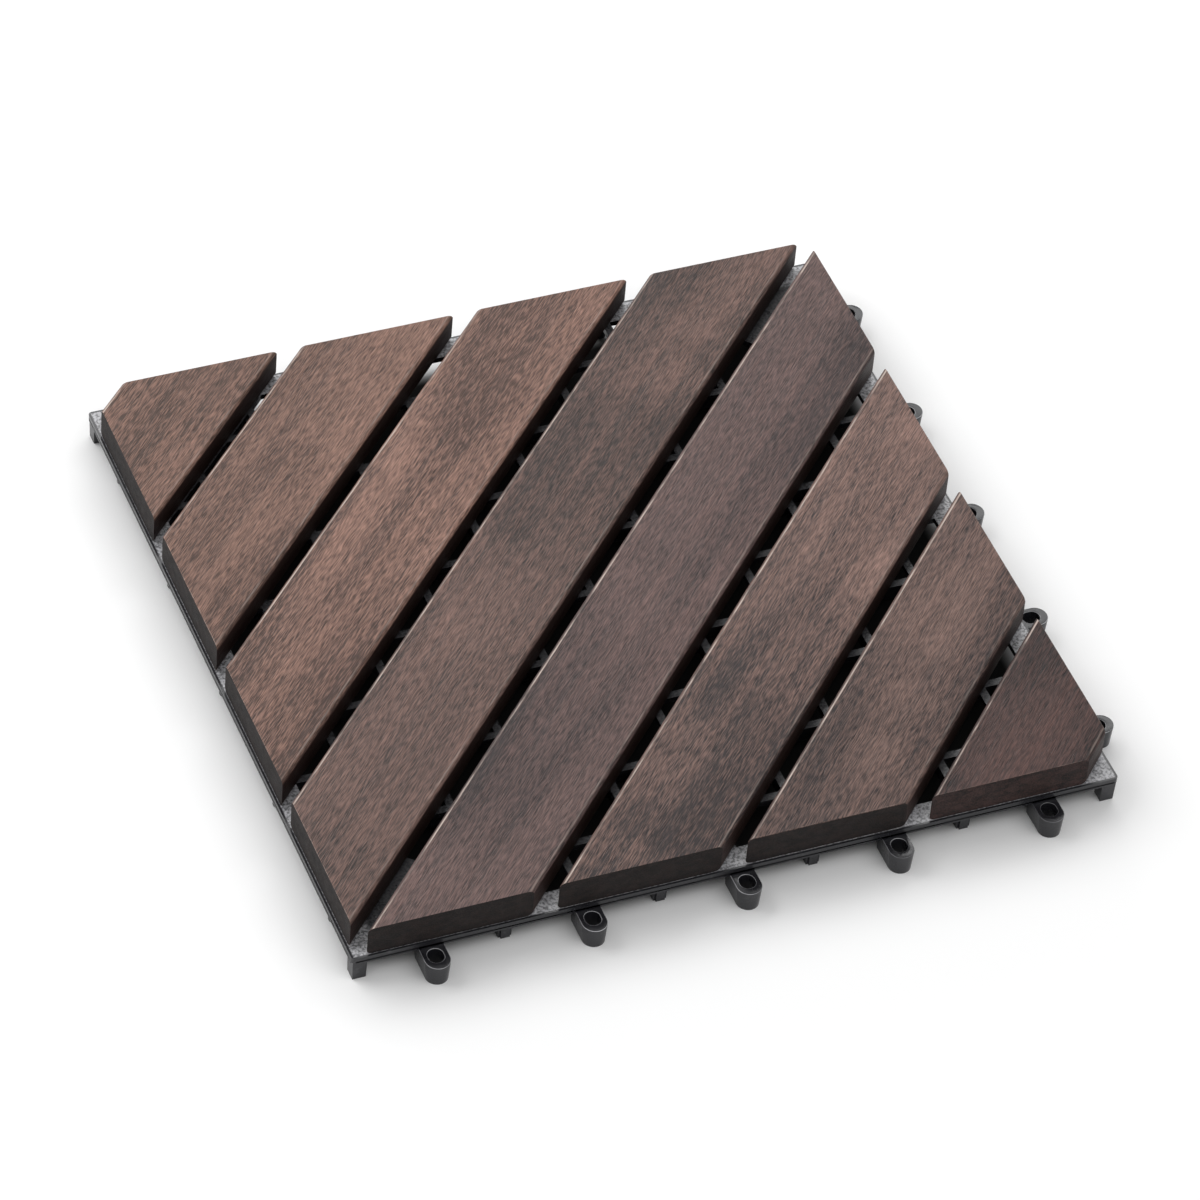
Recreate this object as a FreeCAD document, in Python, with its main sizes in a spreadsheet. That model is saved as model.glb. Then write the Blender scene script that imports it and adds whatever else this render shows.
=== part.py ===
import FreeCAD, Part
import math
import os
import Sketcher

# Interlocking deck tile: eight diagonal wooden slats screwed from below to a
# moulded base grid. The origin is on the ground under the middle of the square
# base, +Z is up, +X and -Y are the sides with the connecting loops, and -X and
# +Y are the sides with the pegs that take a neighbour's loops.

SIZES = (
    ("base_side", 300.0, "side of the square base, rim edge to rim edge"),
    ("base_height", 11.3, "ground to the face that carries the slats"),
    ("plate_thickness", 2.3, "thickness of the rim, the ribs and the corner plates"),
    ("rim_width", 10.0, "width of the rim around the base"),
    ("rim_corner_radius", 1.5, "rounding of the rim's four corners"),
    ("rib_count", 9, "ribs each way between the rims"),
    ("rib_width", 3.2, "width of a rib"),
    ("web_width", 1.8, "thickness of the upright webs that join the feet"),
    ("web_depth", 4.5, "depth of the webs below the ribs"),
    ("foot_row_count", 4, "rows of feet each way between the corner feet"),
    ("foot_side", 5.6, "side of a square foot where it leaves the plate"),
    ("foot_inset", 3.0, "rim edge to the outer face of an edge foot"),
    ("foot_draft", 1.5, "taper of each side of a foot, in degrees"),
    ("loop_count", 5, "loops on a loop side, and pegs on a peg side"),
    ("loop_width", 12.0, "outer width of a connecting loop"),
    ("loop_wall", 2.3, "wall of a connecting loop"),
    ("loop_reach", 11.5, "rim edge to the far end of a loop"),
    ("loop_eye_length", 8.9, "length of the eye in a loop"),
    ("loop_root", 4.0, "length of a loop's root under the rim"),
    ("loop_headroom", 0.3, "top of a loop to the neighbour's rim above it"),
    ("peg_radius", 2.7, "radius of a peg"),
    ("peg_chamfer", 0.9, "chamfer around a peg's tip"),
    ("peg_inset", 4.8, "rim edge to the axis of a peg"),
    ("slat_gap", 6.8, "gap between neighbouring slats"),
    ("slat_thickness", 12.7, "thickness of the slats"),
    ("slat_edge_radius", 1.8, "rounding of the long edges of the slats"),
    ("wood_ledge", 1.0, "strip of rim left in view around the slats"),
    ("corner_cut", 8.5, "corner of the sawn outline to the blunt edge of a corner slat"),
    ("screw_bite", 9.3, "depth of a screw in its slat"),
    ("screw_radius", 1.75, "radius of a screw's shank"),
    ("screw_point", 2.4, "length of the tapered point of a screw"),
    ("head_radius", 3.6, "radius of a screw's pan head"),
    ("head_height", 2.2, "height of a screw's pan head"),
    ("shank_play", 0.3, "play around a screw's shank in the base"),
    ("head_play", 0.6, "play around a screw's head in its recess"),
    ("pilot_extra", 0.8, "depth of a pilot hole past the screw's point"),
    ("boss_wall", 1.5, "wall of the eight-sided boss around a screw's head"),
    ("boss_depth", 4.5, "depth of the bosses below the plate"),
    ("corner_screw_inset", 14.0, "inner edge of a corner slat to its screws"),
    ("corner_screw_spread", 34.0, "distance between the two screws of a corner slat"),
)

UP = FreeCAD.Vector(0, 0, 1)
QUARTER = math.pi / 2
EIGHTH_TURN = 45

document = FreeCAD.newDocument("deck_tile")
sheet = document.addObject("Spreadsheet::Sheet", "Sizes")
for row, (alias, value, meaning) in enumerate(SIZES, start=1):
    sheet.set("A%d" % row, meaning)
    sheet.set("B%d" % row, str(value))
    sheet.setAlias("B%d" % row, alias)
document.recompute()


class Term:
    """A length written on the sheet's cells, with its present value."""

    def __init__(self, text, value):
        self.text = text
        self.value = value

    def __add__(self, other):
        return Term("(%s + %s)" % (self.text, term(other).text), self.value + term(other).value)

    def __sub__(self, other):
        return Term("(%s - %s)" % (self.text, term(other).text), self.value - term(other).value)

    def __mul__(self, factor):
        return Term("(%s * %s)" % (self.text, repr(factor)), self.value * factor)

    def __truediv__(self, divisor):
        return Term("(%s / %s)" % (self.text, repr(divisor)), self.value / divisor)

    def __neg__(self):
        return Term("(-%s)" % self.text, -self.value)


def term(thing):
    """Make a plain number a term too."""
    if isinstance(thing, Term):
        return thing
    return Term(repr(float(thing)), float(thing))


def size(alias):
    """One cell of the sheet."""
    return Term("Sizes." + alias, float(sheet.get(alias)))


def bind(item, path, length):
    """Tie a property of an object to the sheet."""
    item.setExpression(path, term(length).text)


def bind_place(item, path, place):
    """Tie the three coordinates of an object's place to the sheet."""
    for axis, length in zip("xyz", place):
        bind(item, "%s.Base.%s" % (path, axis), length)


# Levels and places that several features share
PLATE_UNDERSIDE = size("base_height") - size("plate_thickness")
HALF_BASE = size("base_side") / 2
HALF_GRID = HALF_BASE - size("rim_width") / 2
EDGE_FOOT = HALF_BASE - size("foot_inset") - size("foot_side") / 2
RIB_PITCH = size("base_side") / (size("rib_count").value + 1)
LOOP_PITCH = RIB_PITCH * 2
LOOP_END = HALF_BASE + size("loop_reach") - size("loop_width") / 2
EYE_RADIUS = size("loop_width") / 2 - size("loop_wall")
HEAD_RECESS = size("head_radius") + size("head_play")
SHANK_HOLE = size("screw_radius") + size("shank_play")
BOSS_BOTTOM = PLATE_UNDERSIDE - size("boss_depth")
CROSSING_STEP = RIB_PITCH / math.sqrt(2)

# Slats of one half, from the middle gap to the corner, with their two screws.
# Each but the last is screwed at crossings of the ribs: the first number is the
# row of crossings, counted across the slats, and the second is how many columns
# the screws are from the middle. The last is screwed to a corner plate.
SLATS = (
    ("middle_slat", 1, 7),
    ("second_slat", 4, 4),
    ("third_slat", 6, 2),
    ("corner_slat", None, None),
)
HALVES = (("front", -1), ("rear", 1))

# The slats share what the gaps and the cut corner leave of half the diagonal
SLAT_REACH = (HALF_BASE - size("wood_ledge")) * math.sqrt(2)
SLAT_GAPS = size("slat_gap") * (len(SLATS) - 0.5)
SLAT_WIDTH = (SLAT_REACH - size("corner_cut") - SLAT_GAPS) / len(SLATS)
SLAT_PITCH = SLAT_WIDTH + size("slat_gap")


def row_of(pitch, count):
    """Places of a row of features around the middle."""
    number = int(count.value)
    return [pitch * (index - (number - 1) / 2) for index in range(number)]


def add_body(label):
    """Start a piece made from sketches."""
    body = document.addObject("PartDesign::Body", label)
    body.Label = label
    return body


def add_sketch(body, name, plane, shift=(0, 0, 0)):
    """Start a sketch on one of a body's origin planes, shifted in that plane's frame."""
    sketch = body.newObject("Sketcher::SketchObject", name)
    planes = [item for item in body.Origin.OriginFeatures if item.Role == plane]
    sketch.AttachmentSupport = [(planes[0], "")]
    sketch.MapMode = "FlatFace"
    bind_place(sketch, "AttachmentOffset", shift)
    return sketch


def constrain(sketch, kind, items, length):
    """Add one driving constraint and tie it to the sheet."""
    index = sketch.addConstraint(Sketcher.Constraint(kind, *items, term(length).value))
    bind(sketch, "Constraints[%d]" % index, length)


def tie(sketch, kind, *items):
    """Add one constraint that has no size."""
    sketch.addConstraint(Sketcher.Constraint(kind, *items))


def place_point(sketch, item, end, across, up):
    """Tie a point to its distances from the sketch's origin."""
    constrain(sketch, "DistanceX", (-1, 1, item, end), across)
    constrain(sketch, "DistanceY", (-1, 1, item, end), up)


def add_line(sketch, start, end):
    """Draw a straight line between two pairs of numbers."""
    return sketch.addGeometry(Part.LineSegment(FreeCAD.Vector(*start), FreeCAD.Vector(*end)), False)


def add_arc(sketch, centre, radius, start, end):
    """Draw an arc around a pair of numbers, between two angles."""
    circle = Part.Circle(FreeCAD.Vector(*centre), UP, radius)
    return sketch.addGeometry(Part.ArcOfCircle(circle, start, end), False)


def add_polygon(sketch, points):
    """Draw a closed outline through points given as pairs of lengths."""
    corners = [(term(across), term(up)) for across, up in points]
    lines = []
    for (x, y), (next_x, next_y) in zip(corners, corners[1:] + corners[:1]):
        lines.append(add_line(sketch, (x.value, y.value), (next_x.value, next_y.value)))
    for line, following in zip(lines, lines[1:] + lines[:1]):
        tie(sketch, "Coincident", line, 2, following, 1)
    for line, (across, up) in zip(lines, corners):
        place_point(sketch, line, 1, across, up)


def add_square(sketch, side):
    """Draw a square around the sketch's origin."""
    half = side / 2
    add_polygon(sketch, ((-half, -half), (half, -half), (half, half), (-half, half)))


def add_octagon(sketch, half):
    """Draw a regular octagon around the sketch's origin from half its width."""
    corner = half * math.tan(math.radians(EIGHTH_TURN / 2))
    add_polygon(sketch, (
        (half, -corner), (half, corner), (corner, half), (-corner, half),
        (-half, corner), (-half, -corner), (-corner, -half), (corner, -half),
    ))


def add_rounded_rectangle(sketch, left, bottom, width, height, radius):
    """Draw a rectangle with round corners from its lower left corner and its sides."""
    x_low = term(left).value
    y_low = term(bottom).value
    x_high = x_low + width.value
    y_high = y_low + height.value
    r = radius.value
    centres = ((x_high - r, y_low + r), (x_high - r, y_high - r), (x_low + r, y_high - r), (x_low + r, y_low + r))
    arcs = []
    for index, centre in enumerate(centres):
        arcs.append(add_arc(sketch, centre, r, QUARTER * (index - 1), QUARTER * index))
    right = add_line(sketch, (x_high, y_low + r), (x_high, y_high - r))
    top = add_line(sketch, (x_high - r, y_high), (x_low + r, y_high))
    left_side = add_line(sketch, (x_low, y_high - r), (x_low, y_low + r))
    base = add_line(sketch, (x_low + r, y_low), (x_high - r, y_low))
    lines = (right, top, left_side, base)
    for arc, line, following in zip(arcs, lines, arcs[1:] + arcs[:1]):
        tie(sketch, "Tangent", arc, 2, line, 1)
        tie(sketch, "Tangent", line, 2, following, 1)
        if arc != arcs[0]:
            tie(sketch, "Equal", arcs[0], arc)
    for line, kind in zip(lines, ("Vertical", "Horizontal", "Vertical", "Horizontal")):
        tie(sketch, kind, line)
    constrain(sketch, "Radius", (arcs[0],), radius)
    constrain(sketch, "DistanceX", (-1, 1, left_side, 1), left)
    constrain(sketch, "DistanceY", (-1, 1, base, 1), bottom)
    constrain(sketch, "DistanceX", (left_side, 2, right, 1), width)
    constrain(sketch, "DistanceY", (base, 2, top, 1), height)


def pad(body, name, sketch, length, downwards=False):
    """Raise a sketch into material."""
    feature = body.newObject("PartDesign::Pad", name)
    feature.Profile = sketch
    feature.Reversed = downwards
    bind(feature, "Length", length)
    return feature


def turn_profile(body, name, sketch):
    """Turn a profile around the sketch's upright axis."""
    feature = body.newObject("PartDesign::Revolution", name)
    feature.Profile = sketch
    feature.ReferenceAxis = (sketch, ["V_Axis"])
    feature.Angle = 360


def add_box(name, corner, sides):
    """A block from its lowest corner and its three sides."""
    box = document.addObject("Part::Box", name)
    for path, side in zip(("Length", "Width", "Height"), sides):
        bind(box, path, side)
    bind_place(box, "Placement", corner)
    return box


def copy_of(piece, name, x, y, z, turn=0):
    """A linked copy of a piece, turned about the upright axis and moved."""
    link = document.addObject("App::Link", name)
    link.LinkedObject = piece
    link.LinkPlacement = FreeCAD.Placement(FreeCAD.Vector(), FreeCAD.Rotation(UP, turn))
    bind_place(link, "LinkPlacement", (x, y, z))
    return link


def slat_inner_edge(number):
    """Distance from the middle of the tile to the inner edge of a slat."""
    return size("slat_gap") / 2 + SLAT_PITCH * number


def screw_places(number):
    """Where a slat's screws are, as distances along it and across from the middle."""
    row, column = SLATS[number][1:]
    if row is None:
        along = size("corner_screw_spread") / 2
        across = slat_inner_edge(number) + size("corner_screw_inset")
    else:
        along = CROSSING_STEP * column
        across = CROSSING_STEP * row
    return [(-along, across), (along, across)]


def all_screw_places():
    """Where every screw is, in the tile's own frame."""
    places = []
    for _, half in HALVES:
        for number in range(len(SLATS)):
            for along, across in screw_places(number):
                x = (along - across * half) / math.sqrt(2)
                y = (along + across * half) / math.sqrt(2)
                places.append((x, y))
    return places


def build_rim():
    """Square rim with rounded corners, level with the tops of the ribs."""
    body = add_body("rim")
    sketch = add_sketch(body, "rim_outline", "XY_Plane", (0, 0, PLATE_UNDERSIDE))
    side = size("base_side")
    add_rounded_rectangle(sketch, -HALF_BASE, -HALF_BASE, side, side, size("rim_corner_radius"))
    add_square(sketch, side - size("rim_width") * 2)
    pad(body, "rim_ring", sketch, size("plate_thickness"))
    return [body]


def build_ribs():
    """Flat ribs both ways from rim to rim."""
    ribs = []
    length = HALF_GRID * 2
    width = size("rib_width")
    height = size("plate_thickness")
    for place in row_of(RIB_PITCH, size("rib_count")):
        low = place - width / 2
        ribs.append(add_box("rib", (low, -HALF_GRID, PLATE_UNDERSIDE), (width, length, height)))
        ribs.append(add_box("cross_rib", (-HALF_GRID, low, PLATE_UNDERSIDE), (length, width, height)))
    return ribs


def build_corner_plates():
    """Solid plate in each corner, from the rim in to the inner edge of the corner slat."""
    body = add_body("corner_plate")
    sketch = add_sketch(body, "corner_plate_outline", "XY_Plane", (0, 0, PLATE_UNDERSIDE))
    leg_end = slat_inner_edge(len(SLATS) - 1) * math.sqrt(2) - HALF_GRID
    add_polygon(sketch, ((HALF_GRID, HALF_GRID), (leg_end, HALF_GRID), (HALF_GRID, leg_end)))
    pad(body, "corner_plate_pad", sketch, size("plate_thickness"))
    return [copy_of(body, "corner_plate_copy", 0, 0, 0, turn) for turn in (0, 90, 180, 270)]


def build_webs():
    """Upright webs under the ribs, along the rows of feet."""
    webs = []
    length = EDGE_FOOT * 2
    width = size("web_width")
    height = size("web_depth")
    bottom = PLATE_UNDERSIDE - height
    for place in row_of(LOOP_PITCH, size("foot_row_count")):
        low = place - width / 2
        webs.append(add_box("web", (low, -EDGE_FOOT, bottom), (width, length, height)))
        webs.append(add_box("cross_web", (-EDGE_FOOT, low, bottom), (length, width, height)))
    return webs


def build_feet():
    """Square feet in rows each way, with one more in the middle of the tile."""
    body = add_body("foot")
    sketch = add_sketch(body, "foot_outline", "XY_Plane", (0, 0, PLATE_UNDERSIDE))
    add_square(sketch, size("foot_side"))
    foot = pad(body, "foot_pad", sketch, PLATE_UNDERSIDE, downwards=True)
    bind(foot, "TaperAngle", -size("foot_draft"))
    rows = [-EDGE_FOOT] + row_of(LOOP_PITCH, size("foot_row_count")) + [EDGE_FOOT]
    places = [(x, y) for x in rows for y in rows] + [(0, 0)]
    return [copy_of(body, "foot_copy", x, y, 0) for x, y in places]


def build_pegs():
    """Round pegs with chamfered tips under the rim of the two peg sides."""
    body = add_body("peg")
    sketch = add_sketch(body, "peg_profile", "XZ_Plane")
    radius = size("peg_radius")
    chamfer = size("peg_chamfer")
    add_polygon(sketch, (
        (0, 0),
        (radius - chamfer, 0),
        (radius, chamfer),
        (radius, PLATE_UNDERSIDE),
        (0, PLATE_UNDERSIDE),
    ))
    turn_profile(body, "turned_peg", sketch)
    side_place = HALF_BASE - size("peg_inset")
    pegs = []
    for place in row_of(LOOP_PITCH, size("loop_count")):
        pegs.append(copy_of(body, "peg_copy", -side_place, place, 0))
        pegs.append(copy_of(body, "peg_copy", place, side_place, 0))
    return pegs


def build_loops():
    """Stadium-shaped loops on the two loop sides, each with a root under the rim."""
    body = add_body("loop")
    sketch = add_sketch(body, "loop_outline", "XY_Plane")
    outer = size("loop_width") / 2
    back = -(size("loop_reach") - outer + size("loop_root"))
    eye_shift = -(size("loop_eye_length") - EYE_RADIUS * 2)
    r = outer.value
    nose = add_arc(sketch, (0, 0), r, -QUARTER, QUARTER)
    upper = add_line(sketch, (0, r), (back.value, r))
    rear = add_line(sketch, (back.value, r), (back.value, -r))
    lower = add_line(sketch, (back.value, -r), (0, -r))
    tie(sketch, "Coincident", nose, 3, -1, 1)
    tie(sketch, "Tangent", nose, 2, upper, 1)
    tie(sketch, "Coincident", upper, 2, rear, 1)
    tie(sketch, "Coincident", rear, 2, lower, 1)
    tie(sketch, "Tangent", lower, 2, nose, 1)
    tie(sketch, "Horizontal", upper)
    tie(sketch, "Vertical", rear)
    tie(sketch, "Horizontal", lower)
    constrain(sketch, "Radius", (nose,), outer)
    constrain(sketch, "DistanceX", (-1, 1, rear, 1), back)
    r = EYE_RADIUS.value
    far = add_arc(sketch, (0, 0), r, -QUARTER, QUARTER)
    upper = add_line(sketch, (0, r), (eye_shift.value, r))
    near = add_arc(sketch, (eye_shift.value, 0), r, QUARTER, 3 * QUARTER)
    lower = add_line(sketch, (eye_shift.value, -r), (0, -r))
    tie(sketch, "Coincident", far, 3, -1, 1)
    tie(sketch, "Tangent", far, 2, upper, 1)
    tie(sketch, "Tangent", upper, 2, near, 1)
    tie(sketch, "Tangent", near, 2, lower, 1)
    tie(sketch, "Tangent", lower, 2, far, 1)
    tie(sketch, "Horizontal", upper)
    constrain(sketch, "Radius", (far,), EYE_RADIUS)
    constrain(sketch, "DistanceX", (-1, 1, near, 3), eye_shift)
    pad(body, "loop_ring", sketch, PLATE_UNDERSIDE - size("loop_headroom"))
    sketch = add_sketch(body, "root_outline", "XY_Plane")
    front = back + size("loop_root")
    add_polygon(sketch, ((back, -outer), (front, -outer), (front, outer), (back, outer)))
    pad(body, "root_block", sketch, PLATE_UNDERSIDE)
    loops = []
    for place in row_of(LOOP_PITCH, size("loop_count")):
        loops.append(copy_of(body, "loop_copy", LOOP_END, place, 0))
        loops.append(copy_of(body, "loop_copy", place, -LOOP_END, 0, -90))
    return loops


def build_bosses():
    """Eight-sided bosses that take the screws."""
    body = add_body("boss")
    sketch = add_sketch(body, "boss_outline", "XY_Plane", (0, 0, BOSS_BOTTOM))
    add_octagon(sketch, HEAD_RECESS + size("boss_wall"))
    pad(body, "boss_pad", sketch, size("boss_depth") + size("plate_thickness"))
    return [copy_of(body, "boss_copy", x, y, 0) for x, y in all_screw_places()]


def build_screw_holes():
    """Stepped cuts: a recess for the head from below, then a hole for the shank."""
    body = add_body("screw_hole")
    sketch = add_sketch(body, "recess_outline", "XY_Plane", (0, 0, BOSS_BOTTOM))
    add_octagon(sketch, HEAD_RECESS)
    pad(body, "head_recess", sketch, size("boss_depth"))
    sketch = add_sketch(body, "hole_outline", "XY_Plane", (0, 0, BOSS_BOTTOM))
    add_octagon(sketch, SHANK_HOLE)
    pad(body, "shank_hole", sketch, size("boss_depth") + size("plate_thickness"))
    holes = document.addObject("Part::Compound", "screw_holes")
    holes.Links = [copy_of(body, "hole_copy", x, y, 0) for x, y in all_screw_places()]
    return holes


def build_base():
    """One moulded grid: rim, ribs, webs, feet, pegs, loops and screw bosses."""
    grid = document.addObject("Part::MultiFuse", "undrilled_grid")
    grid.Shapes = (build_rim() + build_ribs() + build_corner_plates() + build_webs()
                   + build_feet() + build_pegs() + build_loops() + build_bosses())
    grid.Refine = True
    base = document.addObject("Part::Cut", "base_grid")
    base.Label = "base_grid"
    base.Base = grid
    base.Tool = build_screw_holes()
    base.Refine = True
    return base


def build_slat(label, half, number):
    """Planed stock with rounded edges, sawn to the square outline, drilled from below."""
    body = add_body(label)
    sketch = add_sketch(body, "stock_section", "YZ_Plane")
    low_edge = slat_inner_edge(number)
    if half < 0:
        low_edge = -low_edge - SLAT_WIDTH
    thickness = size("slat_thickness")
    add_rounded_rectangle(sketch, low_edge, 0, SLAT_WIDTH, thickness, size("slat_edge_radius"))
    stock = pad(body, "planed_stock", sketch, SLAT_REACH * 2)
    stock.Midplane = True
    sketch = add_sketch(body, "square_outline", "XY_Plane")
    reach = SLAT_REACH
    add_square(sketch, (reach + thickness) * 2)
    add_polygon(sketch, ((reach, 0), (0, reach), (-reach, 0), (0, -reach)))
    sawn = body.newObject("PartDesign::Pocket", "sawn_ends")
    sawn.Profile = sketch
    sawn.Reversed = True
    bind(sawn, "Length", thickness)
    sketch = add_sketch(body, "pilot_centres", "XY_Plane")
    for along, across in screw_places(number):
        circle = sketch.addGeometry(Part.Circle(FreeCAD.Vector(along.value, across.value * half), UP, 1), False)
        place_point(sketch, circle, 3, along, across * half)
        constrain(sketch, "Radius", (circle,), size("screw_radius"))
    drilled = body.newObject("PartDesign::Pocket", "pilot_holes")
    drilled.Profile = sketch
    drilled.Reversed = True
    bind(drilled, "Length", size("screw_bite") + size("pilot_extra"))
    body.Placement = FreeCAD.Placement(FreeCAD.Vector(), FreeCAD.Rotation(UP, EIGHTH_TURN))
    bind(body, "Placement.Base.z", size("base_height"))
    return body


def build_screws():
    """Self-tapping pan-head screws, one in each boss, as a group of separate solids."""
    body = add_body("single_screw")
    sketch = add_sketch(body, "screw_profile", "XZ_Plane")
    head = size("head_radius")
    shank = size("screw_radius")
    length = size("plate_thickness") + size("screw_bite")
    head_end = -size("head_height")
    add_polygon(sketch, (
        (0, head_end),
        (head, head_end),
        (head, 0),
        (shank, 0),
        (shank, length - size("screw_point")),
        (0, length),
    ))
    turn_profile(body, "turned_screw", sketch)
    screws = document.addObject("Part::Compound", "screws")
    screws.Label = "screws"
    screws.Links = [copy_of(body, "screw_copy", x, y, PLATE_UNDERSIDE) for x, y in all_screw_places()]
    return screws


def check_document():
    """Stop if any object failed."""
    for item in document.Objects:
        if "Invalid" in item.State or "Error" in item.State:
            raise RuntimeError("%s failed: %s" % (item.Label, item.State))


def write_parts(pieces):
    """Write each piece to a file of its own."""
    for piece in pieces:
        if piece.Shape.isNull() or not piece.Shape.isValid():
            raise RuntimeError("%s has no valid shape" % piece.Label)
    os.makedirs("parts", exist_ok=True)
    for piece in pieces:
        piece.Shape.exportStep("parts/%s.step" % piece.Label)
        print("%-20s %3d solids %12.1f mm3" % (piece.Label, len(piece.Shape.Solids), piece.Shape.Volume))


pieces = [build_base()]
for half_label, half in HALVES:
    for number, (slat_label, _, _) in enumerate(SLATS):
        pieces.append(build_slat("%s_%s" % (slat_label, half_label), half, number))
pieces.append(build_screws())
document.recompute()
check_document()
write_parts(pieces)
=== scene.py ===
import math

import bmesh
import bpy
from mathutils import Matrix, Vector


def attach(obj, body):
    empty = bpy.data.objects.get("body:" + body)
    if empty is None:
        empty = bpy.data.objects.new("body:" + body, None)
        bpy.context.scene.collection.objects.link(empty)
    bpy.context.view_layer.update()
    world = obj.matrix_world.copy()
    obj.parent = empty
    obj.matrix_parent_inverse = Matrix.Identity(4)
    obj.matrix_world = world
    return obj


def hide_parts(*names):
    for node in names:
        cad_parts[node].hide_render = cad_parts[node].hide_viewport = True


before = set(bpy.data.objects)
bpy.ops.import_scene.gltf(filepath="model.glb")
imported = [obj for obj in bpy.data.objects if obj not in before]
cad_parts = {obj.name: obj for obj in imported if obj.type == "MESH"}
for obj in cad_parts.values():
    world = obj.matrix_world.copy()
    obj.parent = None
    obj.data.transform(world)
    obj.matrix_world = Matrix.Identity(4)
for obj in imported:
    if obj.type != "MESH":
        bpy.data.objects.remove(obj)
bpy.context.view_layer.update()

MM = 0.001
GRAIN_TURN = math.radians(45)

# Linear colours of the finishes
WHITE = (1.0, 1.0, 1.0, 1.0)
PLASTIC_BLACK = (0.013, 0.013, 0.016, 1.0)
PLASTIC_SCUFF = (0.048, 0.048, 0.053, 1.0)
# Pale grey of dust and of a painted sheen on the plastic's upper faces
PLASTIC_DUST_AND_SHEEN = (0.50, 0.50, 0.52, 1.0)
ZINC = (0.56, 0.57, 0.56, 1.0)
ZINC_DULL = (0.40, 0.41, 0.42, 1.0)
PORE_BROWN = (0.030, 0.020, 0.017, 1.0)
END_SHADE = (0.004, 0.0035, 0.0035, 1.0)
END_DARK = (0.024, 0.015, 0.013)
END_RED = (0.062, 0.032, 0.028)
# Near-black of the long sides: partly stain, partly painted shade of the narrow gaps
SIDE_STAIN_AND_SHADE = (0.020, 0.009, 0.007, 1.0)
# Pale arris colour: partly rubbed stain, partly a painted highlight
ARRIS_WEAR_AND_HIGHLIGHT = (0.50, 0.41, 0.36, 1.0)
FLOOR_PALE = (0.92, 0.92, 0.92, 1.0)
# Colour of the painted shadow on the floor under the tile
FLOOR_PAINTED_SHADOW = (0.02, 0.02, 0.02, 1.0)

# About how often the wood's patterns repeat per metre: along the grain, across it and upwards
FIGURE_RATE = (4, 30, 30)
RIPPLE_RATE = (36, 11, 11)
PATCH_RATE = (9, 16, 16)
STREAK_RATE = (9, 330, 330)
FIBRE_RATE = (220, 2700, 2700)
PORE_RATE = (110, 2400, 2400)
END_DOT_RATE = (1900, 1900, 1900)
END_RING_RATE = (30, 260, 420)
WEAR_RATE = (60, 300, 300)
FIGURE_TURN = 0.09
RIPPLE_TURN = 0.62

# About how often the patterns of the plastic and the zinc repeat per metre
SKIN_RATE = (900, 900, 900)
CLOUD_RATE = (45, 45, 45)
SCUFF_RATE = (300, 900, 400)
SCUFF_TURN = 0.8
ZINC_RATE = (500, 500, 500)


def new_material(name):
    """A new material with an empty tree that ends in a Principled shader."""
    material = bpy.data.materials.new(name)
    material.use_nodes = True
    tree = material.node_tree
    tree.nodes.clear()
    output = tree.nodes.new("ShaderNodeOutputMaterial")
    shader = tree.nodes.new("ShaderNodeBsdfPrincipled")
    tree.links.new(shader.outputs["BSDF"], output.inputs["Surface"])
    return material, tree, shader


def feed(tree, socket, value):
    """Link a socket or give it a constant; None leaves it as it is."""
    if isinstance(value, bpy.types.NodeSocket):
        tree.links.new(value, socket)
    elif value is not None:
        socket.default_value = value


def calc(tree, operation, first, second=None):
    """One Math node."""
    node = tree.nodes.new("ShaderNodeMath")
    node.operation = operation
    feed(tree, node.inputs[0], first)
    feed(tree, node.inputs[1], second)
    return node.outputs[0]


def product(tree, first, *others):
    """Several values multiplied together."""
    for other in others:
        first = calc(tree, "MULTIPLY", first, other)
    return first


def axes(tree, vector):
    """The X, Y and Z of a vector."""
    node = tree.nodes.new("ShaderNodeSeparateXYZ")
    tree.links.new(vector, node.inputs["Vector"])
    return node.outputs


def farther(tree, first, second):
    """The larger of two values, whatever their signs."""
    return calc(tree, "MAXIMUM", calc(tree, "ABSOLUTE", first), calc(tree, "ABSOLUTE", second))


def spread(tree, value, low, high, out_low=0.0, out_high=1.0):
    """One smooth Map Range node; low may be above high, which turns the slope round."""
    node = tree.nodes.new("ShaderNodeMapRange")
    node.interpolation_type = "SMOOTHSTEP"
    feed(tree, node.inputs["Value"], value)
    node.inputs["From Min"].default_value = low
    node.inputs["From Max"].default_value = high
    node.inputs["To Min"].default_value = out_low
    node.inputs["To Max"].default_value = out_high
    return node.outputs["Result"]


def blend(tree, factor, first, second, clamp=True):
    """One colour Mix node."""
    node = tree.nodes.new("ShaderNodeMix")
    node.data_type = "RGBA"
    node.clamp_factor = clamp
    feed(tree, node.inputs["Factor"], factor)
    feed(tree, node.inputs["A"], first)
    feed(tree, node.inputs["B"], second)
    return node.outputs["Result"]


def placed(tree, vector, scale=(1, 1, 1), turn=0.0):
    """One Mapping node, which scales a vector and then turns it about Z."""
    node = tree.nodes.new("ShaderNodeMapping")
    node.vector_type = "POINT"
    feed(tree, node.inputs["Vector"], vector)
    node.inputs["Scale"].default_value = scale
    node.inputs["Rotation"].default_value = (0, 0, turn)
    return node.outputs["Vector"]


def noise(tree, vector, detail, roughness=0.5, distortion=0.0):
    """One Noise node, as a value around a half; its vector sets how often it repeats."""
    node = tree.nodes.new("ShaderNodeTexNoise")
    feed(tree, node.inputs["Vector"], vector)
    node.inputs["Scale"].default_value = 1.0
    node.inputs["Detail"].default_value = detail
    node.inputs["Roughness"].default_value = roughness
    node.inputs["Distortion"].default_value = distortion
    return node.outputs["Fac"]


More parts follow.
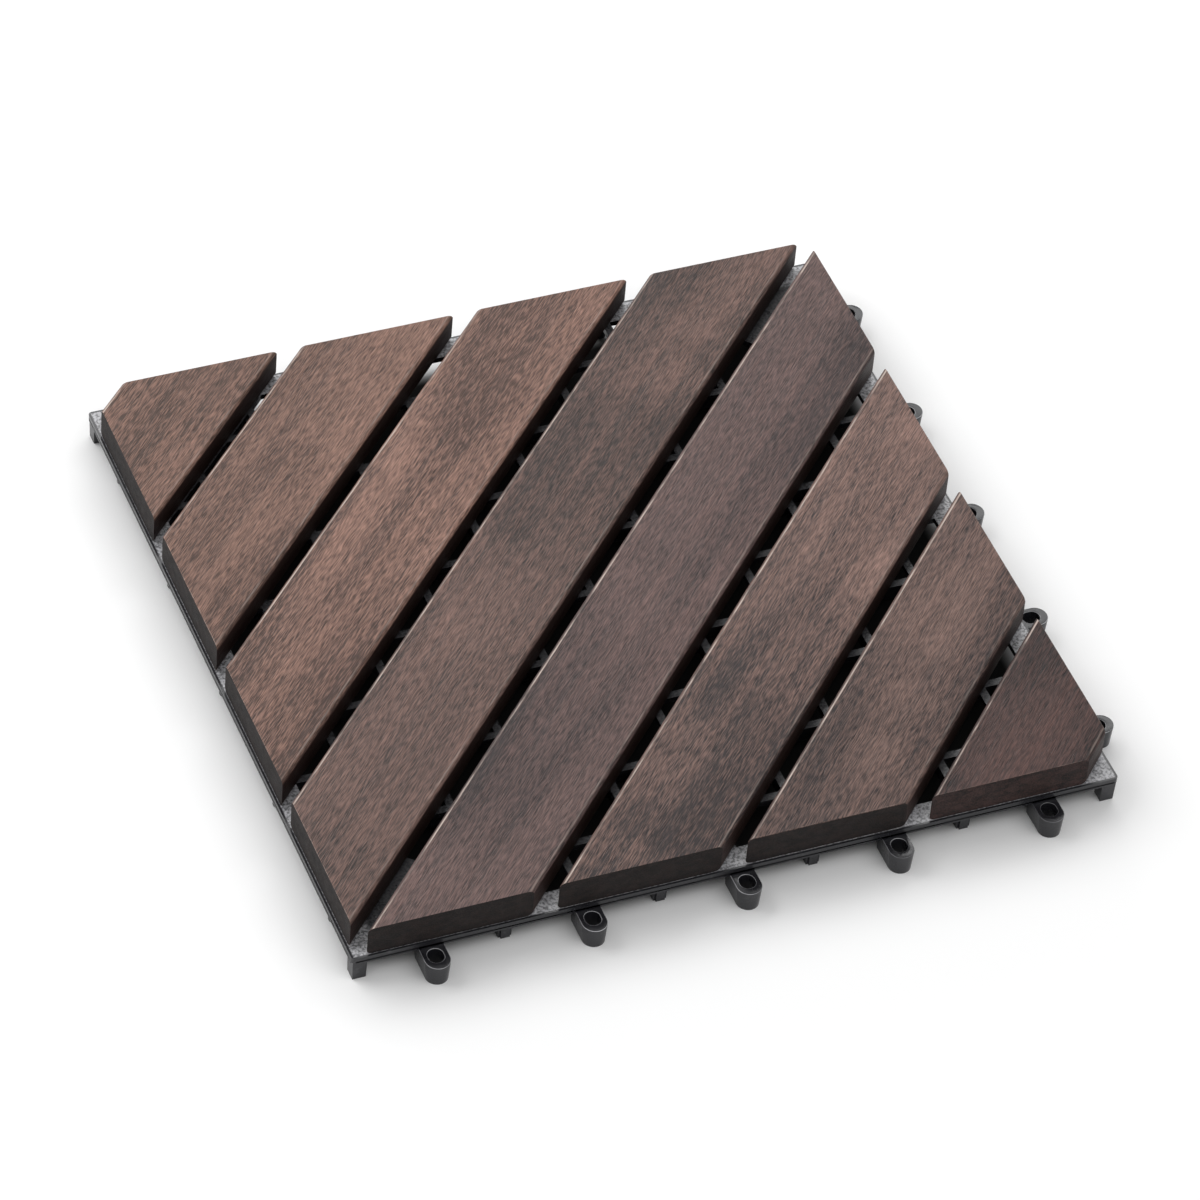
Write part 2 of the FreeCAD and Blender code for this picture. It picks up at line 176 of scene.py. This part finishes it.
def new_group(name, inputs, outputs):
    """A shader node group with named sockets."""
    tree = bpy.data.node_groups.new(name, "ShaderNodeTree")
    for label, kind in inputs:
        tree.interface.new_socket(label, in_out="INPUT", socket_type="NodeSocket" + kind)
    for label, kind in outputs:
        tree.interface.new_socket(label, in_out="OUTPUT", socket_type="NodeSocket" + kind)
    return tree, tree.nodes.new("NodeGroupInput"), tree.nodes.new("NodeGroupOutput")


def place_group(tree, group, values):
    """Put a node group in a material with its own values."""
    node = tree.nodes.new("ShaderNodeGroup")
    node.node_tree = group
    for label, value in values.items():
        feed(tree, node.inputs[label], value)
    return node


def emboss(tree, shader, height, strength, distance):
    """Let a height pattern bend the normals of a finish."""
    bump = tree.nodes.new("ShaderNodeBump")
    bump.inputs["Strength"].default_value = strength
    bump.inputs["Distance"].default_value = distance
    tree.links.new(height, bump.inputs["Height"])
    tree.links.new(bump.outputs["Normal"], shader.inputs["Normal"])


def make_wood_group():
    """Stained, lightly oiled hardwood: figure, streaks, pores, end grain, long sides with painted shade and
    rubbed arrises with a painted highlight.
    """
    tree, given, result = new_group(
        "stained_wood_surface",
        (("Vector", "Vector"), ("Normal", "Vector"), ("Seed", "Vector"), ("Light", "Color"),
         ("Dark", "Color"), ("End", "Color"), ("Figure", "Float"), ("Ripple", "Float"), ("Drift", "Float")),
        (("Color", "Color"), ("Roughness", "Float"), ("Height", "Float")),
    )
    # Along the grain is X, across it is Y
    flat_grain = placed(tree, given.outputs["Vector"], turn=-GRAIN_TURN)
    add = tree.nodes.new("ShaderNodeVectorMath")
    add.operation = "ADD"
    tree.links.new(flat_grain, add.inputs[0])
    tree.links.new(given.outputs["Seed"], add.inputs[1])
    grain = add.outputs["Vector"]
    # Long soft zones of light and dark wood, and patches of bands that lie askew to the grain
    figure = noise(tree, placed(tree, grain, FIGURE_RATE, FIGURE_TURN), detail=2.0, distortion=0.6)
    figure = spread(tree, figure, 0.34, 0.66)
    ripple = noise(tree, placed(tree, grain, RIPPLE_RATE, RIPPLE_TURN), detail=1.5, distortion=0.3)
    patches = noise(tree, placed(tree, grain, PATCH_RATE), detail=1.0)
    ripple = product(tree, spread(tree, ripple, 0.38, 0.62), spread(tree, patches, 0.42, 0.62))
    # Streaks a millimetre or two wide, and fibres and pores under half a millimetre
    streak = noise(tree, placed(tree, grain, STREAK_RATE), detail=5.0, roughness=0.65, distortion=0.1)
    fibre = noise(tree, placed(tree, grain, FIBRE_RATE), detail=1.0)
    pores = spread(tree, noise(tree, placed(tree, grain, PORE_RATE), detail=1.0), 0.56, 0.72)
    # Past one the wood goes on getting lighter, so that no flat patches appear
    tone = product(tree, figure, given.outputs["Figure"])
    for share in (
        product(tree, ripple, given.outputs["Ripple"]),
        product(tree, axes(tree, flat_grain)["X"], given.outputs["Drift"]),
        spread(tree, streak, 0.28, 0.72, -0.12, 0.30),
        spread(tree, fibre, 0.22, 0.78, -0.48, 0.62),
    ):
        tone = calc(tree, "ADD", tone, share)
    tone = calc(tree, "MAXIMUM", tone, 0.0)
    colour = blend(tree, tone, given.outputs["Dark"], given.outputs["Light"], clamp=False)
    colour = blend(tree, product(tree, pores, 0.34), colour, PORE_BROWN)
    # Faces by their direction: sawn ends point along X or Y, long sides point across the grain
    facing = axes(tree, given.outputs["Normal"])
    end_face = spread(tree, farther(tree, facing["X"], facing["Y"]), 0.80, 0.95)
    steep = spread(tree, calc(tree, "ABSOLUTE", facing["Z"]), 0.45, 0.05)
    end_dots = noise(tree, placed(tree, grain, END_DOT_RATE), detail=2.0)
    end_rings = noise(tree, placed(tree, grain, END_RING_RATE), detail=3.0, distortion=0.5)
    end_tone = calc(tree, "ADD", spread(tree, end_dots, 0.35, 0.70, 0.0, 0.45),
                    spread(tree, end_rings, 0.30, 0.70, 0.0, 0.40))
    end_colour = blend(tree, end_tone, END_SHADE, given.outputs["End"])
    # The long sides are darkened almost to black, partly stain and partly painted shade of the gaps
    side_colour = blend(tree, steep, colour, SIDE_STAIN_AND_SHADE)
    colour = blend(tree, end_face, side_colour, end_colour)
    # Rubbed, paler stain along the rounded top arrises, plus a painted highlight that makes it strongest on
    # the side facing the back-left lamp
    lit_side = calc(tree, "SUBTRACT", facing["Y"], facing["X"])
    worn = noise(tree, placed(tree, grain, WEAR_RATE), detail=3.0)
    arris_wear_and_highlight = product(
        tree,
        spread(tree, facing["Z"], 0.82, 0.93),
        spread(tree, facing["Z"], 0.998, 0.98),
        spread(tree, lit_side, -0.1, 0.2, 0.30, 1.0),
        spread(tree, worn, 0.38, 0.62, 0.15, 0.9),
    )
    colour = blend(tree, arris_wear_and_highlight, colour, ARRIS_WEAR_AND_HIGHLIGHT)
    rough = calc(tree, "ADD", spread(tree, streak, 0.3, 0.7, 0.52, 0.64), product(tree, end_face, 0.15))
    height = calc(tree, "ADD", product(tree, streak, 0.6), product(tree, fibre, 0.5))
    height = calc(tree, "SUBTRACT", height, product(tree, pores, 0.5))
    tree.links.new(colour, result.inputs["Color"])
    tree.links.new(rough, result.inputs["Roughness"])
    tree.links.new(height, result.inputs["Height"])
    return tree


WOOD_GROUP = make_wood_group()


# How far apart in the wood's patterns two slats are cut, in metres
SEED_STEPS = (0.37, 0.91, 0.53)


def stained_wood(name, light, dark, end, seed, figure, ripple, drift):
    """The finish of one slat."""
    material, tree, shader = new_material(name)
    surface = place_group(tree, WOOD_GROUP, {
        "Vector": tree.nodes.new("ShaderNodeTexCoord").outputs["Object"],
        "Normal": tree.nodes.new("ShaderNodeNewGeometry").outputs["Normal"],
        "Seed": [step * seed for step in SEED_STEPS],
        "Light": (*light, 1.0),
        "Dark": (*dark, 1.0),
        "End": (*end, 1.0),
        "Figure": figure,
        "Ripple": ripple,
        "Drift": drift,
    })
    tree.links.new(surface.outputs["Color"], shader.inputs["Base Color"])
    tree.links.new(surface.outputs["Roughness"], shader.inputs["Roughness"])
    emboss(tree, shader, surface.outputs["Height"], 0.7, 0.4 * MM)
    shader.inputs["Specular IOR Level"].default_value = 0.28
    return material


def moulded_plastic():
    """Black polypropylene with a fine moulded skin, pale scuffs, dust with a painted sheen on upper faces,
    and a painted highlight round the loops.
    """
    material, tree, shader = new_material("black_moulded_plastic")
    place = tree.nodes.new("ShaderNodeTexCoord").outputs["Object"]
    skin = noise(tree, placed(tree, place, SKIN_RATE), detail=3.0, roughness=0.6)
    cloud = noise(tree, placed(tree, place, CLOUD_RATE), detail=4.0, roughness=0.6)
    scuff = noise(tree, placed(tree, place, SCUFF_RATE, SCUFF_TURN), detail=3.0)
    scuffed = product(tree, spread(tree, scuff, 0.58, 0.72), spread(tree, cloud, 0.45, 0.65))
    colour = blend(tree, scuffed, PLASTIC_BLACK, PLASTIC_SCUFF)
    at = axes(tree, place)
    upward = axes(tree, tree.nodes.new("ShaderNodeNewGeometry").outputs["Normal"])["Z"]
    out = farther(tree, at["X"], at["Y"])
    # Upper faces are lightened in speckles, partly dust and partly a painted sheen, the rim and the corner
    # plates most. The strip of rim outside the slats isn't lightened
    dust_and_sheen = product(
        tree,
        spread(tree, at["Z"], 10.7 * MM, 11.2 * MM),
        spread(tree, upward, 0.5, 0.9),
        spread(tree, out, 138.0 * MM, 141.0 * MM, 0.12, 1.0),
        spread(tree, out, 149.4 * MM, 148.8 * MM),
        spread(tree, skin, 0.36, 0.62, 0.25, 1.0),
    )
    # A painted highlight runs as a pale ring round the eased upper edges of the loops
    painted_ring_highlight = product(
        tree,
        spread(tree, at["Z"], 7.9 * MM, 8.3 * MM),
        spread(tree, upward, 0.30, 0.60),
        spread(tree, upward, 0.995, 0.93),
        spread(tree, out, 150.1 * MM, 150.6 * MM),
        spread(tree, cloud, 0.35, 0.60, 0.2, 1.0),
    )
    colour = blend(tree, calc(tree, "MAXIMUM", dust_and_sheen, painted_ring_highlight), colour, PLASTIC_DUST_AND_SHEEN)
    tree.links.new(colour, shader.inputs["Base Color"])
    tree.links.new(spread(tree, cloud, 0.3, 0.7, 0.22, 0.36), shader.inputs["Roughness"])
    emboss(tree, shader, skin, 0.25, 0.2 * MM)
    shader.inputs["Specular IOR Level"].default_value = 0.6
    return material


def zinc_steel():
    """Plain zinc plating on the screws."""
    material, tree, shader = new_material("zinc_plated_steel")
    place = tree.nodes.new("ShaderNodeTexCoord").outputs["Object"]
    cloud = noise(tree, placed(tree, place, ZINC_RATE), detail=3.0)
    tree.links.new(blend(tree, cloud, ZINC, ZINC_DULL), shader.inputs["Base Color"])
    tree.links.new(spread(tree, cloud, 0.3, 0.7, 0.28, 0.42), shader.inputs["Roughness"])
    shader.inputs["Metallic"].default_value = 1.0
    return material


# Each slat's light and dark stain, the stain of its sawn ends, its seed, how strongly its figure and its
# ripple show, and how much lighter it gets per metre along the grain
SLAT_FINISHES = {
    "corner_slat_rear": ((0.285, 0.161, 0.123), (0.067, 0.040, 0.031), END_DARK, 1, 0.40, 0.10, 0.0),
    "third_slat_rear": ((0.270, 0.155, 0.118), (0.065, 0.037, 0.029), END_DARK, 2, 0.45, 0.12, -0.6),
    "second_slat_rear": ((0.296, 0.169, 0.130), (0.061, 0.035, 0.028), END_DARK, 3, 0.46, 0.14, 0.0),
    "middle_slat_rear": ((0.169, 0.102, 0.085), (0.031, 0.023, 0.021), END_DARK, 4, 0.55, 0.16, 0.4),
    "middle_slat_front": ((0.136, 0.085, 0.077), (0.028, 0.020, 0.020), END_DARK, 5, 0.50, 0.14, 0.0),
    "second_slat_front": ((0.199, 0.121, 0.100), (0.024, 0.017, 0.017), END_DARK, 6, 0.50, 0.32, 1.3),
    "third_slat_front": ((0.156, 0.096, 0.080), (0.019, 0.012, 0.012), END_DARK, 7, 0.50, 0.28, 1.6),
    "corner_slat_front": ((0.085, 0.045, 0.039), (0.010, 0.006, 0.006), END_RED, 8, 0.52, 0.20, 0.0),
}


# Corners closer than these are one corner, the second after a Boolean
MERGE_DISTANCE = 0.001 * MM
CARVED_MERGE_DISTANCE = 0.002 * MM

# Edges flatter than the first angle are dissolved, and edges sharper than the second are eased by so many
# millimetres
FLAT_ANGLE = math.radians(1)
SHARP_ANGLE = math.radians(30)
SLAT_EASE = 0.5
GRID_EASE = 0.35


def merged_shape(node_name):
    """A CAD node's mesh with its corners joined and each flat face in one piece."""
    shape = bmesh.new()
    shape.from_mesh(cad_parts[node_name].data)
    bmesh.ops.remove_doubles(shape, verts=shape.verts, dist=MERGE_DISTANCE)
    bmesh.ops.dissolve_limit(shape, angle_limit=FLAT_ANGLE, verts=shape.verts, edges=shape.edges)
    return shape


def finish_piece(shape, name, material, slot, *nodes):
    """Make a piece from a shape and let it stand for CAD nodes."""
    mesh = bpy.data.meshes.new(name)
    shape.to_mesh(mesh)
    shape.free()
    if "custom_normal" in mesh.attributes:
        mesh.attributes.remove(mesh.attributes["custom_normal"])
    mesh.shade_smooth()
    mesh.set_sharp_from_angle(angle=SHARP_ANGLE)
    mesh.materials.clear()
    mesh.materials.append(material)
    piece = bpy.data.objects.new(name, mesh)
    bpy.context.collection.objects.link(piece)
    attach(piece, "root")
    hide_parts(*nodes)
    return piece


def ease_edges(piece, width):
    """Round off the sharp edges of a piece by a width in millimetres."""
    bevel = piece.modifiers.new("eased_edges", "BEVEL")
    bevel.width = width * MM
    bevel.segments = 2
    bevel.limit_method = "ANGLE"
    bevel.angle_limit = SHARP_ANGLE
    bevel.harden_normals = True


# The CAD base grid in millimetres, its loops measured out from the rim's edge
RIM_EDGE = 150.0
PLATE_UNDERSIDE = 9.0
LOOP_PITCH = 60.0
LOOP_TOP = 8.7
LOOP_ROOT = 4.0
LOOP_REACH = 11.5
LOOP_HALF_WIDTH = 6.0
LOOP_ROUND = LOOP_REACH - LOOP_HALF_WIDTH
EYE_HALF_WIDTH = 3.7
EYE_NEAR = 0.3
EYE_FAR = 9.2
FOOT_HALF = 2.8
EDGE_FOOT = 144.2
FOOT_LINES = (-EDGE_FOOT, -90.0, -30.0, 30.0, 90.0, EDGE_FOOT)

# The dressed base grid in millimetres and in shares of the CAD's sizes
LOOP_SHARE = 0.80
EYE_SHARE = 0.81
DRESSED_EYE_NEAR = 1.4
DRESSED_EYE_LENGTH = 6.9
TAPER_HEIGHT = 1.0
TAPER_SHARE = 0.90
TAPER_START = 5.0
TAPER_TUCK = 0.08
LOOP_EASE = 0.55
FOOT_SHIFT = 2.5
FOOT_FIN = 1.75
FOOT_CUT = 3.3
LIP_THICKNESS = 1.6
LIP_SPAN = 148.5
LIP_LOW = 8.2
LIP_HIGH = 9.6


def refine_loops(shape):
    """Slim the loops to the photograph's, round their upper edges and taper them to the ground."""
    for vert in shape.verts:
        x, y, z = vert.co / MM
        side = x > -y
        out, along = (x, y) if side else (-y, x)
        out -= RIM_EDGE
        place = round(along / LOOP_PITCH) * LOOP_PITCH
        offset = along - place
        if out < -LOOP_ROOT - 0.05 or abs(offset) > LOOP_HALF_WIDTH + 0.05 or z > PLATE_UNDERSIDE + 0.01:
            continue
        if abs(offset) < EYE_HALF_WIDTH + 0.1 and EYE_NEAR - 0.1 < out < EYE_FAR + 0.1:
            offset *= EYE_SHARE
            out = DRESSED_EYE_NEAR + (out - EYE_NEAR) * DRESSED_EYE_LENGTH / (EYE_FAR - EYE_NEAR)
        else:
            offset *= LOOP_SHARE
            if out > LOOP_ROUND - 0.1:
                out = LOOP_REACH - (LOOP_REACH - out) * LOOP_SHARE
            if z < TAPER_HEIGHT:
                offset *= TAPER_SHARE
                out -= max(0.0, out - TAPER_START) * TAPER_TUCK
        out += RIM_EDGE
        along = place + offset
        vert.co = Vector((out, along, z) if side else (along, -out, z)) * MM
    top_edges = []
    for edge in shape.edges:
        middle = (edge.verts[0].co + edge.verts[1].co) / 2 / MM
        level = all(abs(vert.co.z / MM - LOOP_TOP) < 0.02 for vert in edge.verts)
        if level and max(middle.x, -middle.y) > RIM_EDGE + 0.02 and edge.calc_face_angle(0) > 0.8:
            top_edges.append(edge)
    bmesh.ops.bevel(shape, geom=top_edges, offset=LOOP_EASE * MM, segments=3, profile=0.5, affect="EDGES",
                    clamp_overlap=True, material=-1)


def spread_corner_feet(shape):
    """Move the four corner feet out until they stand almost flush with the rim."""
    near = EDGE_FOOT - FOOT_HALF - 0.2
    far = EDGE_FOOT + FOOT_HALF + 0.1
    for vert in shape.verts:
        x, y, z = vert.co / MM
        if min(abs(x), abs(y)) > near and max(abs(x), abs(y)) < far and z < PLATE_UNDERSIDE + 0.01:
            vert.co += Vector((math.copysign(FOOT_SHIFT, x), math.copysign(FOOT_SHIFT, y), 0)) * MM


def add_block(shape, low, high):
    """Add a box between two opposite corners given in millimetres."""
    for vert in bmesh.ops.create_cube(shape, size=2.0)["verts"]:
        vert.co = Vector([high[axis] if vert.co[axis] > 0 else low[axis] for axis in range(3)]) * MM


def add_rim_lip(shape):
    """A shallow lip that hangs from the outer edge of the rim."""
    inner = RIM_EDGE - LIP_THICKNESS
    for x_low, x_high, y_low, y_high in (
        (-RIM_EDGE, -inner, -LIP_SPAN, LIP_SPAN), (inner, RIM_EDGE, -LIP_SPAN, LIP_SPAN),
        (-LIP_SPAN, LIP_SPAN, -RIM_EDGE, -inner), (-LIP_SPAN, LIP_SPAN, inner, RIM_EDGE),
    ):
        add_block(shape, (x_low, y_low, LIP_LOW), (x_high, y_high, LIP_HIGH))


# Half of a screw's outline as radius and height in millimetres: domed head, shank, point
HEAD_LOW = 6.82
SCREW_OUTLINE = (
    (0.0, HEAD_LOW), (1.3, 6.86), (2.2, 7.0), (2.9, 7.3), (3.35, 7.75), (3.56, 8.3), (3.6, 8.8), (3.55, 9.0),
    (1.75, 9.0), (1.75, 18.2), (0.0, 20.6),
)
RECESS_ARM = 1.75
RECESS_BLADE = 0.42
RECESS_DEPTH = 1.3
RECESS_START = 6.0
RECESS_TAPER = 0.62
DRIVEN_TURN = 2.4


def screw_centres():
    """Where the CAD screws stand."""
    shape = merged_shape("screws")
    centres = []
    seen = set()
    for start in shape.verts:
        if start in seen:
            continue
        island = {start}
        waiting = [start]
        while waiting:
            for edge in waiting.pop().link_edges:
                for vert in edge.verts:
                    if vert not in island:
                        island.add(vert)
                        waiting.append(vert)
        seen |= island
        xs = [vert.co.x for vert in island]
        ys = [vert.co.y for vert in island]
        centres.append(((min(xs) + max(xs)) / 2, (min(ys) + max(ys)) / 2))
    shape.free()
    return centres


def turned_shape(outline, steps):
    """A closed shape spun from an outline that starts and ends on the axis."""
    shape = bmesh.new()
    verts = [shape.verts.new((radius * MM, 0, height * MM)) for radius, height in outline]
    edges = [shape.edges.new(pair) for pair in zip(verts, verts[1:])]
    bmesh.ops.spin(shape, geom=verts + edges, cent=(0, 0, 0), axis=(0, 0, 1), angle=2 * math.pi,
                   steps=steps, use_merge=True)
    bmesh.ops.remove_doubles(shape, verts=shape.verts, dist=MERGE_DISTANCE)
    bmesh.ops.recalc_face_normals(shape, faces=shape.faces)
    return shape


def temporary(shape, name):
    """A bare object for a Boolean."""
    mesh = bpy.data.meshes.new(name)
    shape.to_mesh(mesh)
    shape.free()
    item = bpy.data.objects.new(name, mesh)
    bpy.context.collection.objects.link(item)
    return item


def carve(shape, cutting_shape):
    """What is left of a shape when another is cut away from it."""
    item = temporary(shape, "carved")
    cutter = temporary(cutting_shape, "cutter")
    boolean = item.modifiers.new("cut", "BOOLEAN")
    boolean.object = cutter
    boolean.operation = "DIFFERENCE"
    boolean.solver = "EXACT"
    boolean.use_self = True
    bpy.context.view_layer.update()
    mesh = bpy.data.meshes.new_from_object(item.evaluated_get(bpy.context.evaluated_depsgraph_get()))
    bpy.data.objects.remove(item)
    bpy.data.objects.remove(cutter)
    rest = bmesh.new()
    rest.from_mesh(mesh)
    bmesh.ops.remove_doubles(rest, verts=rest.verts, dist=CARVED_MERGE_DISTANCE)
    return rest


def cross_feet(shape):
    """Cut the corners off the square feet inside the rim's corners, so that two crossed fins are left."""
    places = [(x, y) for x in FOOT_LINES for y in FOOT_LINES if min(abs(x), abs(y)) < EDGE_FOOT]
    places.append((0.0, 0.0))
    cutter = bmesh.new()
    for x, y in places:
        for turn_x in (-1, 1):
            for turn_y in (-1, 1):
                near = (x + turn_x * FOOT_FIN, y + turn_y * FOOT_FIN, -1.0)
                far = (x + turn_x * FOOT_CUT, y + turn_y * FOOT_CUT, PLATE_UNDERSIDE - 0.02)
                add_block(cutter, near, far)
    bmesh.ops.recalc_face_normals(cutter, faces=cutter.faces)
    return carve(shape, cutter)


def recessed_screw():
    """One screw at the origin, with a cross recess in its head."""
    cross = bmesh.new()
    floor = HEAD_LOW + RECESS_DEPTH
    for wide, deep in ((RECESS_ARM, RECESS_BLADE), (RECESS_BLADE, RECESS_ARM)):
        for vert in bmesh.ops.create_cube(cross, size=1.0)["verts"]:
            upper = vert.co.z > 0
            taper = RECESS_TAPER if upper else 1.0
            vert.co.x = math.copysign(wide * taper * MM, vert.co.x)
            vert.co.y = math.copysign(deep * taper * MM, vert.co.y)
            vert.co.z = (floor if upper else RECESS_START) * MM
    return carve(turned_shape(SCREW_OUTLINE, 32), cross)


def screw_shapes():
    """Every screw, turned to a different angle as it was driven."""
    shape = bmesh.new()
    single = bpy.data.meshes.new("screw")
    recessed_screw().to_mesh(single)
    for number, (x, y) in enumerate(screw_centres()):
        first = len(shape.verts)
        shape.from_mesh(single)
        shape.verts.ensure_lookup_table()
        place = Matrix.Translation((x, y, 0)) @ Matrix.Rotation(DRIVEN_TURN * number, 4, "Z")
        bmesh.ops.transform(shape, matrix=place, verts=shape.verts[first:])
    return shape


for node_name, (light, dark, end, seed, figure, ripple, drift) in SLAT_FINISHES.items():
    wood = stained_wood("stained_wood_%d" % seed, light, dark, end, seed, figure, ripple, drift)
    slat = finish_piece(merged_shape(node_name), "dressed_" + node_name, wood, "stained_wood", node_name)
    ease_edges(slat, SLAT_EASE)
grid_shape = cross_feet(merged_shape("base_grid"))
refine_loops(grid_shape)
spread_corner_feet(grid_shape)
add_rim_lip(grid_shape)
grid = finish_piece(grid_shape, "dressed_base_grid", moulded_plastic(), "base_plastic", "base_grid")
ease_edges(grid, GRID_EASE)
finish_piece(screw_shapes(), "dressed_screws", zinc_steel(), "screw_steel", "screws")


FLOOR_REACH = 6.0
SURROUND_STRENGTH = 0.55
BACKDROP_STRENGTH = 1.0


def add_floor():
    """Pale floor with a painted shadow where the tile covers it, so that the gaps read black."""
    mesh = bpy.data.meshes.new("floor")
    shape = bmesh.new()
    bmesh.ops.create_grid(shape, x_segments=1, y_segments=1, size=FLOOR_REACH)
    shape.to_mesh(mesh)
    shape.free()
    floor = bpy.data.objects.new("floor", mesh)
    bpy.context.collection.objects.link(floor)
    material, tree, shader = new_material("pale_floor")
    at = axes(tree, tree.nodes.new("ShaderNodeTexCoord").outputs["Object"])
    # Painted shadow: the floor goes dark under the tile
    painted_shadow = spread(tree, farther(tree, at["X"], at["Y"]), 148.0 * MM, 138.0 * MM)
    tree.links.new(blend(tree, painted_shadow, FLOOR_PALE, FLOOR_PAINTED_SHADOW), shader.inputs["Base Color"])
    shader.inputs["Roughness"].default_value = 0.9
    shader.inputs["Specular IOR Level"].default_value = 0.1
    mesh.materials.append(material)


def add_world():
    """Even studio surround that looks white to the camera."""
    world = bpy.data.worlds.new("studio")
    bpy.context.scene.world = world
    world.use_nodes = True
    tree = world.node_tree
    tree.nodes.clear()
    output = tree.nodes.new("ShaderNodeOutputWorld")
    mix = tree.nodes.new("ShaderNodeMixShader")
    path = tree.nodes.new("ShaderNodeLightPath")
    tree.links.new(path.outputs["Is Camera Ray"], mix.inputs["Fac"])
    for slot, strength in ((1, SURROUND_STRENGTH), (2, BACKDROP_STRENGTH)):
        background = tree.nodes.new("ShaderNodeBackground")
        background.inputs["Color"].default_value = WHITE
        background.inputs["Strength"].default_value = strength
        tree.links.new(background.outputs["Background"], mix.inputs[slot])
    tree.links.new(mix.outputs["Shader"], output.inputs["Surface"])


def add_lamp(name, place, width, height, power):
    """A softbox that faces the tile."""
    lamp = bpy.data.lights.new(name, "AREA")
    lamp.shape = "RECTANGLE"
    lamp.size = width
    lamp.size_y = height
    lamp.energy = power
    item = bpy.data.objects.new(name, lamp)
    item.location = place
    item.rotation_euler = (-Vector(place)).to_track_quat("-Z", "Y").to_euler()
    bpy.context.collection.objects.link(item)


def add_camera():
    """The photograph's viewpoint, two and a half metres away, with a longer lens on the one tile."""
    data = bpy.data.cameras.new("camera")
    data.lens = 199.66
    data.sensor_width = 36.0
    data.clip_end = 50.0
    camera = bpy.data.objects.new("camera", data)
    camera.location = (-0.7626, -1.6371, 1.7436)
    camera.rotation_euler = [math.radians(angle) for angle in (45.998, -3.904, -21.313)]
    bpy.context.collection.objects.link(camera)
    bpy.context.scene.camera = camera


add_floor()
add_world()
add_lamp("softbox_left", (-1.5, 1.4, 1.9), 2.4, 1.8, 40.0)
add_lamp("softbox_back", (0.95, 2.0, 1.95), 2.6, 1.2, 24.0)
add_lamp("strip_back", (-0.1, 3.0, 0.75), 2.4, 0.5, 20.0)
add_lamp("fill_front", (0.8, -1.6, 2.0), 2.6, 2.2, 16.0)
add_camera()
bpy.context.scene.view_settings.view_transform = "Standard"
